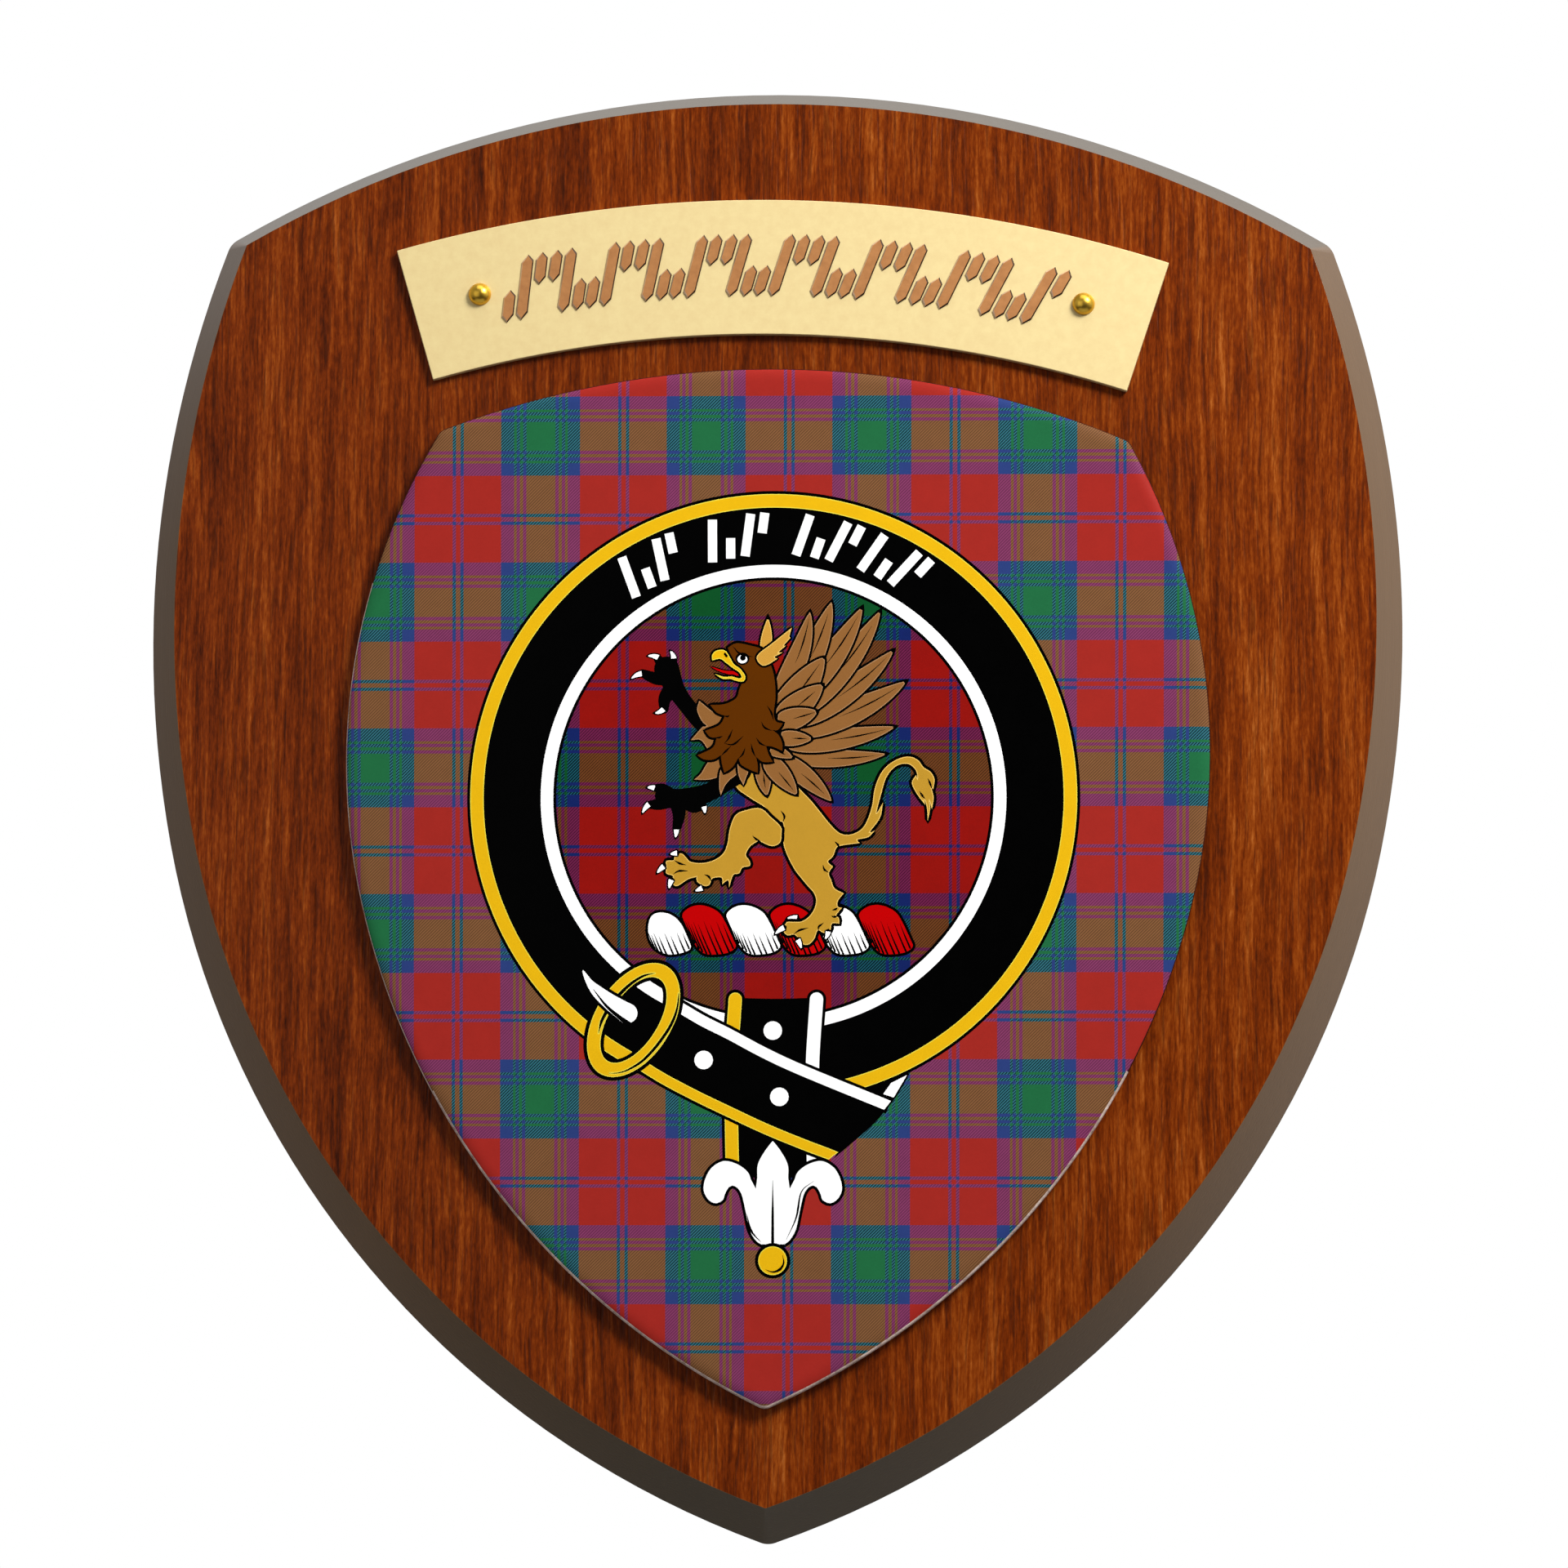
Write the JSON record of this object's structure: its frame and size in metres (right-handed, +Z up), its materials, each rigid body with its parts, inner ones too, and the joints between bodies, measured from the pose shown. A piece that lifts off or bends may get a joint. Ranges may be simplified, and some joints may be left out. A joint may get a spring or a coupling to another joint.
{
  "type": "heraldic shield plaque",
  "caption": "Bevelled wooden shield plaque with a raised tartan panel, a pinned brass name plate and a keyhole slot for hanging.",
  "frame": {"origin": "screw seat of the keyhole slot, on the plane of the board's back", "axes": "+Z up the plaque, -Y out of its front, +X to the right of a person looking at the front"},
  "size_m": [0.1524, 0.0142, 0.1777],
  "materials": {
    "stained_wood": "satin lacquer",
    "printed_panel": "printed tartan and crest, satin",
    "satin_brass": "satin",
    "bright_brass": "polished"
  },
  "bodies": {
    "root": {"shield_board": "stained_wood", "tartan_panel": "printed_panel", "name_plate": "satin_brass", "pin_left": "bright_brass", "pin_right": "bright_brass"}
  },
  "joints": []
}
